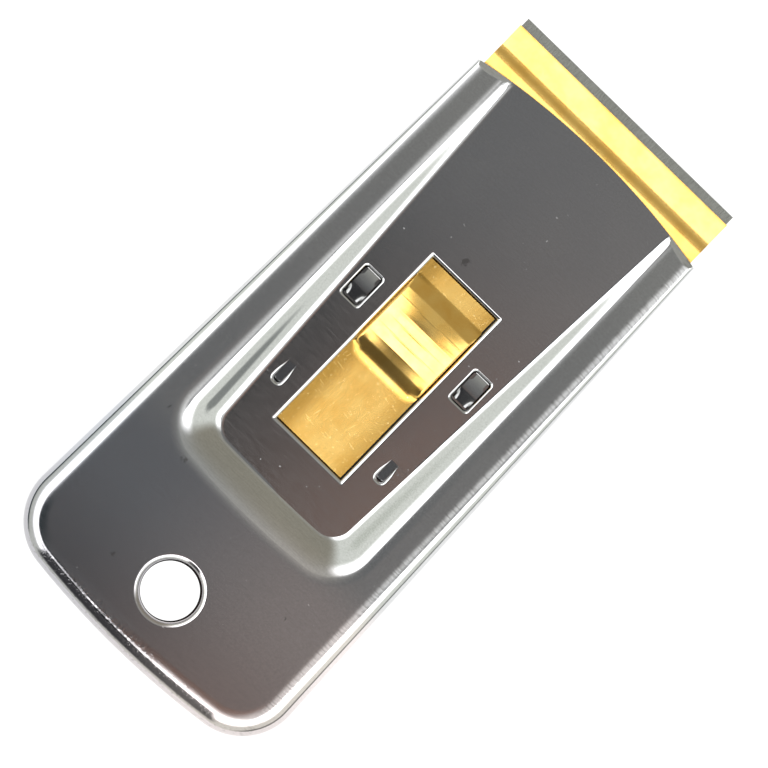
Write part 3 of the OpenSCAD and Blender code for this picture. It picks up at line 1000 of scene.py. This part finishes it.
class Finish(Nodes):
    """A material with its place on the object in millimetres."""

    def __init__(self, name):
        self.material = bpy.data.materials.new(name)
        self.material.use_nodes = True
        super().__init__(self.material.node_tree)
        place = self.add("ShaderNodeTexCoord").outputs["Object"]
        self.place = self.stretch(place, (1 / MM,) * 3)
        self.shader = self.add("ShaderNodeBsdfPrincipled")
        self.add("ShaderNodeOutputMaterial", {0: self.shader.outputs[0]})

    def done(self, colour, roughness, normal, metallic=1.0):
        """The material with its shader filled in."""
        inputs = {"Base Color": colour, "Roughness": roughness, "Normal": normal, "Metallic": metallic}
        self.put(self.shader, inputs)
        return self.material

    def cells(self, scale, detail=3.0, roughness=0.5):
        """Noise fixed to the object: cells per millimetre."""
        return self.noise(self.place, scale, detail, roughness)

    def grain(self, along_x, along_y, roughness=0.6):
        """Fine rolling lines: cells per millimetre along X and along Y."""
        lines = self.stretch(self.place, (along_x, along_y, along_y))
        return self.noise(lines, detail=4.0, roughness=roughness)

    def marks(self, angle, length, width, least):
        """Sparse scratches in one direction: 1 in a scratch."""
        edge = 0.04
        turned = self.stretch(self.place, (1, 1, 1), angle)
        cells = self.stretch(turned, (1 / length, 1 / width, 1 / width))
        return self.ramp(self.noise(cells, detail=1.0), least, least + edge)

    def reach(self, x, y):
        """Distance from an upright line, seen from above."""
        inputs = {0: self.stretch(self.place, (1, 1, 0)), 1: (x, y, 0)}
        return self.add("ShaderNodeVectorMath", inputs, operation="DISTANCE").outputs["Value"]

    def spot(self, x, y, r):
        """An uneven spot seen from above: 1 in its middle, 0 at its edge."""
        swing = 0.7 * r
        core = 0.2 * r
        uneven = self.ramp(self.cells(1 / r, 2.0), 0.25, 0.75, -swing, swing)
        return self.ramp(self.math("ADD", self.reach(x, y), uneven), r, core)

    def satin(self, grain, low, high):
        """Roughness that follows the grain."""
        return self.ramp(grain, 0.25, 0.8, low, high)

    def relief(self, *layers):
        """Marks added up, each with its height."""
        return self.fold("ADD", *[self.both(mark, height) for mark, height in layers])

    def bump(self, height, strength=1.0, depth=0.01):
        inputs = {"Strength": strength, "Distance": depth * MM, "Height": height}
        return self.add("ShaderNodeBump", inputs).outputs[0]


# Small dark stains on the case: places and radii
stains = [
    (-17.2, -21.1, 0.35), (-10.8, -24.7, 0.5), (-8.8, -40.3, 0.4), (-2.4, 20.3, 0.6),
    (13.5, -30.5, 0.25)]


def right_edge(steel, x, y):
    """1 on the chattered shoulder along the right edge of the case."""
    line = outline(front_top, back_top)
    (x0, y0), (x1, y1) = line[0], line[len(side_shares(1.0)) - 1]
    lean = (x1 - x0) / (y1 - y0)
    along = steel.math("SUBTRACT", y, y0)
    beside = steel.math("SUBTRACT", steel.math("SUBTRACT", x, x0), steel.both(along, lean))
    return steel.band(beside, -shoulder_w, -shoulder_w / 2, 0.0, 0.2)


def shell_tone_and_reflection(steel, x, y):
    """Clouded steel. A painted reflection makes the grip cool on the left and warm on the right; the
    grip is also darker at its end.
    """
    # Painted reflection: the grip is tinted cool on the left and warmer and lighter on the right
    cool = (0.5, 0.515, 0.55)
    warm = (0.78, 0.715, 0.705)
    colour = steel.mix(steel.cells(0.09), (0.56, 0.57, 0.585), (0.66, 0.66, 0.66))
    grip = steel.ramp(y, panel_back_y, panel_back_y - 7)
    colour = steel.mix(grip, colour, steel.mix(steel.ramp(x, -14, 15), cool, warm))
    grip_end = steel.ramp(y, hole_y + 8, back_y + 4, 0.0, 0.3)
    colour = steel.mix(grip_end, colour, (0.3, 0.25, 0.25))
    fine = steel.ramp(steel.cells(3.5, 2.0, 0.7), 0.3, 0.7, 0.0, 0.16)
    return steel.mix(fine, colour, (0.35, 0.35, 0.35))


def painted_breaks_in_highlight(steel, x, back_wear_and_shade):
    """Dark patches painted into the highlight along the left of the back edge, only on faces that lean a
    little to the back: painted shade standing in for galling marks that break up the reflection.
    """
    facing = steel.split(steel.add("ShaderNodeNewGeometry").outputs["Normal"])[1]
    line = steel.band(facing, -0.22, -0.15, -0.03, 0.0)
    patches = steel.ramp(steel.cells(1.3), 0.36, 0.52, 0.0, 0.9)
    return steel.both(back_wear_and_shade, steel.ramp(x, 7, -3), line, patches)


def burr_shade(steel, x, y, z):
    """1 on the sheared edges of the window and the lug holes, which are painted near black as the shade
    in the gaps under the rims.
    """
    margin = 1
    beside = steel.math("ABSOLUTE", x)
    window = steel.math("LESS_THAN", beside, window_half + margin)
    ahead = steel.math("GREATER_THAN", y, lug_y - lug_l)
    lugs = steel.both(ahead, steel.math("LESS_THAN", beside, lug_x + lug_w))
    below = steel.ramp(z, panel_z - 0.24, panel_z - 0.36)
    behind = steel.math("LESS_THAN", y, window_front_y + margin)
    before = steel.math("GREATER_THAN", y, window_back_y - margin)
    return steel.both(steel.either(window, lugs), below, before, behind)


def shell_steel():
    """Bright rolled steel with handling marks, wear along the back edge with painted shade breaking up
    its highlight, and sheared edges painted near black as shade.
    """
    steel = Finish("shell_steel")
    x, y, z = steel.split(steel.place)
    grain = steel.grain(0.5, 6.0)
    # Band along the top of the back edge: real specks and battering, and painted shade in its highlight
    back_wear_and_shade = steel.both(steel.ramp(y, back_y + 4.5, back_y + 2.5), steel.ramp(z, panel_z + 1, panel_z + 2))
    specks = steel.cells(2.4, 1.0)
    speck = steel.either(steel.ramp(specks, 0.79, 0.85), steel.both(back_wear_and_shade, steel.ramp(specks, 0.6, 0.68)))
    scratch = steel.either(steel.marks(0.5, 3.0, 0.12, 0.82), steel.marks(-0.35, 4.0, 0.12, 0.83))
    edge = right_edge(steel, x, y)
    ticks = steel.noise(steel.stretch(steel.place, (0.3, 5.0, 0.3)), detail=2.0)
    battered = steel.both(steel.cells(2.2, 2.0), back_wear_and_shade, steel.ramp(x, 8, -2))
    stain = steel.either(*[steel.spot(*spot) for spot in stains])
    tick = steel.both(steel.ramp(ticks, 0.4, 0.68, 0.0, 0.4), edge)
    lines = steel.ramp(grain, 0.35, 0.8, 0.0, 0.16)
    dark = steel.either(steel.both(stain, 0.6), steel.both(speck, 0.3), tick, lines)
    colour = steel.mix(dark, shell_tone_and_reflection(steel, x, y), (0.2, 0.19, 0.18))
    # Painted shade: dark patches breaking up the highlight along the back left
    colour = steel.mix(painted_breaks_in_highlight(steel, x, back_wear_and_shade), colour, (0.06, 0.06, 0.06))
    # Painted shade: the sheared edges of the holes are made near black
    colour = steel.mix(burr_shade(steel, x, y, z), colour, (0.03, 0.028, 0.025))
    chatter = steel.both(ticks, edge)
    height = steel.relief((grain, 0.05), (speck, 0.3), (scratch, -0.2), (chatter, 0.4), (battered, 1.2))
    return steel.done(colour, steel.satin(grain, 0.07, 0.11), steel.bump(height))


def plate_steel():
    """Rolled steel, duller than the shell, with painted shade round the hole of its boss and on the
    backs of the lugs.
    """
    steel = Finish("plate_steel")
    y, z = steel.split(steel.place)[1:]
    grain = steel.grain(0.3, 7.0)
    colour = steel.mix(steel.cells(0.12, 4.0), (0.46, 0.47, 0.48), (0.6, 0.6, 0.6))
    # Painted shade: the plate round the hole of the boss, in the gap under the rim of the shell
    bore_shade = steel.ramp(steel.reach(0, hole_y), hole_r + 0.5, hole_r + 0.35)
    colour = steel.mix(bore_shade, colour, (0.05, 0.048, 0.045))
    raised = steel.ramp(z, panel_z - 1.5, panel_z - 1.2)
    ahead = steel.ramp(y, panel_back_y, panel_back_y + 1)
    # Painted shade on the backs of the lugs, where they bow down into their pockets
    lug_back_shade = steel.ramp(y, lug_ridge_y + 1.2, lug_ridge_y - 0.6, 0.0, 0.5)
    colour = steel.mix(steel.both(raised, ahead, lug_back_shade), colour, (0.1, 0.1, 0.1))
    return steel.done(colour, steel.satin(grain, 0.07, 0.11), steel.bump(grain, 0.05, 0.012))


def brass_plate():
    """Satin brass plating, rubbed on the thumb pad and darker towards the sides of the tongue."""
    brass = Finish("brass_plate")
    x, y, z = brass.split(brass.place)
    grain = brass.grain(6.0, 0.5)
    cloud = brass.ramp(brass.cells(0.3, 5.0, 0.6), 0.3, 0.7)
    rubbed = brass.ramp(z, carriage_top + 0.05, carriage_top + 0.4)
    colour = brass.mix(cloud, (0.94, 0.56, 0.135), (1.0, 0.66, 0.2))
    # Darker towards the sides of the tongue, more on the left
    sides = brass.either(brass.ramp(x, -2.5, -5.4, 0.0, 0.85), brass.ramp(x, 2.6, 6.0, 0.0, 0.6))
    tongue = brass.math("LESS_THAN", y, shoulder_y)
    flat = brass.math("SUBTRACT", 1.0, rubbed)
    colour = brass.mix(brass.both(sides, tongue, flat), colour, (0.5, 0.29, 0.06))
    speck = brass.ramp(brass.cells(2.8, 1.0), 0.69, 0.73)
    scratch = brass.either(brass.marks(0.2, 2.2, 0.1, 0.73), brass.marks(1.9, 1.8, 0.1, 0.75))
    pale = brass.both(brass.either(speck, scratch), flat, tongue, 0.4)
    colour = brass.mix(pale, colour, (1.0, 0.86, 0.5))
    roughness = brass.math("SUBTRACT", brass.satin(grain, 0.21, 0.23), brass.both(rubbed, 0.07))
    height = brass.relief(
        (grain, 0.012), (brass.both(speck, flat), 0.15), (brass.both(scratch, flat), -0.1))
    return brass.done(colour, roughness, brass.bump(height))


def blade_steel():
    """Dull ground steel with fine grinding lines square to the edge."""
    steel = Finish("blade_steel")
    grain = steel.grain(14.0, 0.8)
    colour = steel.mix(steel.cells(0.3), (0.235, 0.24, 0.225), (0.29, 0.295, 0.275))
    return steel.done(colour, steel.satin(grain, 0.24, 0.34), steel.bump(grain, 0.07))


def spine_steel():
    """Satin steel strip."""
    steel = Finish("spine_steel")
    grain = steel.grain(0.4, 8.0, 0.5)
    colour = steel.mix(steel.cells(0.4), (0.6, 0.61, 0.62), (0.7, 0.7, 0.7))
    return steel.done(colour, steel.satin(grain, 0.22, 0.34), steel.bump(grain, 0.2))


def floor_white():
    """White that shines by itself."""
    white = Finish("floor_white")
    cloud = white.cells(0.01, 2.0)
    colour = white.mix(cloud, (0.2, 0.2, 0.2), (0.205, 0.205, 0.205))
    white.put(white.shader, {"Emission Color": colour, "Emission Strength": 5.0})
    return white.done(colour, 0.9, white.bump(cloud, 0.0), 0.0)


def side_light(sky, polar, side):
    """Light from all round: strong high up, softer lower down, dark low on both sides."""
    right = sky.ramp(side, 0.5, 0.8)
    left = sky.ramp(side, -0.5, -0.8)
    light = sky.mix(sky.ramp(polar, 34, 54), (3.4, 3.4, 3.4), (1.05, 1.08, 1.0))
    light = sky.mix(sky.both(sky.ramp(polar, 75, 79), right), light, (0.36, 0.38, 0.36))
    light = sky.mix(sky.both(sky.ramp(polar, 66, 76), left), light, (0.78, 0.82, 0.73))
    return sky.mix(sky.both(sky.ramp(polar, 77, 80), left), light, (0.12, 0.15, 0.16))


def on_stand(sky, polar, side, ahead):
    """1 on the stand of the camera behind the grip."""
    across = sky.band(side, -0.36, -0.2, 0.16, 0.34)
    return sky.both(across, sky.ramp(ahead, 0.0, -0.3), sky.band(polar, 13, 18, 62, 82))


def beyond_camera(sky, lean_x, lean_y):
    """0 on the camera overhead and 1 past its edges."""
    behind = sky.ramp(lean_y, -3.0, -9.0)
    before = sky.ramp(lean_y, 4.5, 13.5)
    left = sky.ramp(lean_x, -7.5, -11.0)
    right = sky.ramp(lean_x, 9.0, 11.0)
    return sky.either(behind, before, left, right)


def camera_dark(sky, lean_x, lean_y):
    """Tones of the camera overhead: cool left, warm right, grey in front, pale at its right edge."""
    dark = sky.mix(sky.ramp(lean_x, -1.4, 1.4), (0.03, 0.045, 0.05), (0.3, 0.2, 0.165))
    front = sky.mix(sky.ramp(lean_x, -1.6, 1.6), (0.185, 0.19, 0.195), (0.25, 0.24, 0.235))
    dark = sky.mix(sky.ramp(lean_y, 0.3, 1.8), dark, front)
    dark = sky.mix(sky.ramp(lean_y, 3.2, 5.0), dark, (0.24, 0.24, 0.235))
    return sky.mix(sky.ramp(lean_x, 2.5, 7.5), dark, (1.0, 1.0, 0.98))


def camera_rim(sky, lean_x, lean_y):
    """1 on the dark rim at the right of the camera."""
    return sky.both(sky.band(lean_x, 8.3, 9.3, 13.5, 15.0), sky.band(lean_y, 1.5, 2.5, 6.5, 8.0))


def studio_light():
    """Soft light from the sides and behind, a grey front, and a dark camera with its stand."""
    world = bpy.data.worlds.new("studio")
    scene.world = world
    world.use_nodes = True
    sky = Nodes(world.node_tree)
    x, y, z = sky.split(sky.add("ShaderNodeTexCoord").outputs["Generated"])
    polar = sky.math("DEGREES", sky.math("ARCCOSINE", z))
    plan = sky.math("SINE", sky.math("RADIANS", polar))
    side = sky.math("DIVIDE", x, plan)
    ahead = sky.math("DIVIDE", y, plan)
    grey = sky.mix(sky.ramp(polar, 20, 70), (0.51, 0.51, 0.47), (0.4, 0.38, 0.31))
    light = sky.mix(sky.ramp(ahead, 0.58, 0.88), side_light(sky, polar, side), grey)
    stand_tone = sky.mix(sky.ramp(side, 0.0, 0.1), (0.08, 0.08, 0.085), (0.2, 0.2, 0.195))
    light = sky.mix(on_stand(sky, polar, side, ahead), light, stand_tone)
    lean_x = sky.math("DEGREES", sky.math("ARCTAN2", x, z))
    lean_y = sky.math("DEGREES", sky.math("ARCTAN2", y, z))
    light = sky.mix(beyond_camera(sky, lean_x, lean_y), camera_dark(sky, lean_x, lean_y), light)
    light = sky.mix(camera_rim(sky, lean_x, lean_y), light, (0.42, 0.43, 0.43))
    background = sky.add("ShaderNodeBackground", {"Color": light})
    sky.add("ShaderNodeOutputWorld", {0: background.outputs[0]})


def camera():
    """Straight above the tool, with the blade to the upper right."""
    pixels = 768
    pixels_per_mm = 7.5
    window_px = (387.0, 368.6)
    distance = 800.0
    sensor = 36.0
    right = Vector((0.7166, 0.6975, 0)).normalized()
    up = Vector((-right.y, right.x, 0))
    middle = Vector((0, (window_front_y + window_back_y) / 2, panel_z))
    shift_right = (window_px[0] - pixels / 2) / pixels_per_mm
    shift_up = (pixels / 2 - window_px[1]) / pixels_per_mm
    place = middle - right * shift_right - up * shift_up + Vector((0, 0, distance))
    data = bpy.data.cameras.new("camera")
    data.sensor_width = sensor
    data.lens = sensor * distance * pixels_per_mm / pixels
    data.clip_start = 0.01
    made = bpy.data.objects.new("camera", data)
    turn = Matrix((right, up, (0, 0, 1))).transposed().to_4x4()
    made.matrix_world = Matrix.Translation(place * MM) @ turn
    scene.collection.objects.link(made)
    scene.camera = made


def floor():
    """Pale floor just under the tool."""
    half = 3000.0
    steps = 12
    drop = 0.1
    sheet = Sheet()
    bmesh.ops.create_grid(sheet.mesh, x_segments=steps, y_segments=steps, size=half)
    made = sheet.piece("floor", floor_white())
    made.location.z = -drop * MM


def dress(piece, body, node):
    """Ties a piece to its body and hides the solid that it replaces."""
    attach(piece, body)
    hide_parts(node)


scene.view_settings.view_transform = "Standard"
camera()
studio_light()
floor()
dress(front_shell(shell_steel()), "case", "front_shell")
dress(back_plate(plate_steel()), "case", "back_plate")
dress(blade_carriage(brass_plate()), "slider", "blade_carriage")
dress(blade_spine(spine_steel()), "slider", "blade_spine")
blade = frame["nodes"]["razor_blade"]
blade.data.materials.clear()
blade.data.materials.append(blade_steel())
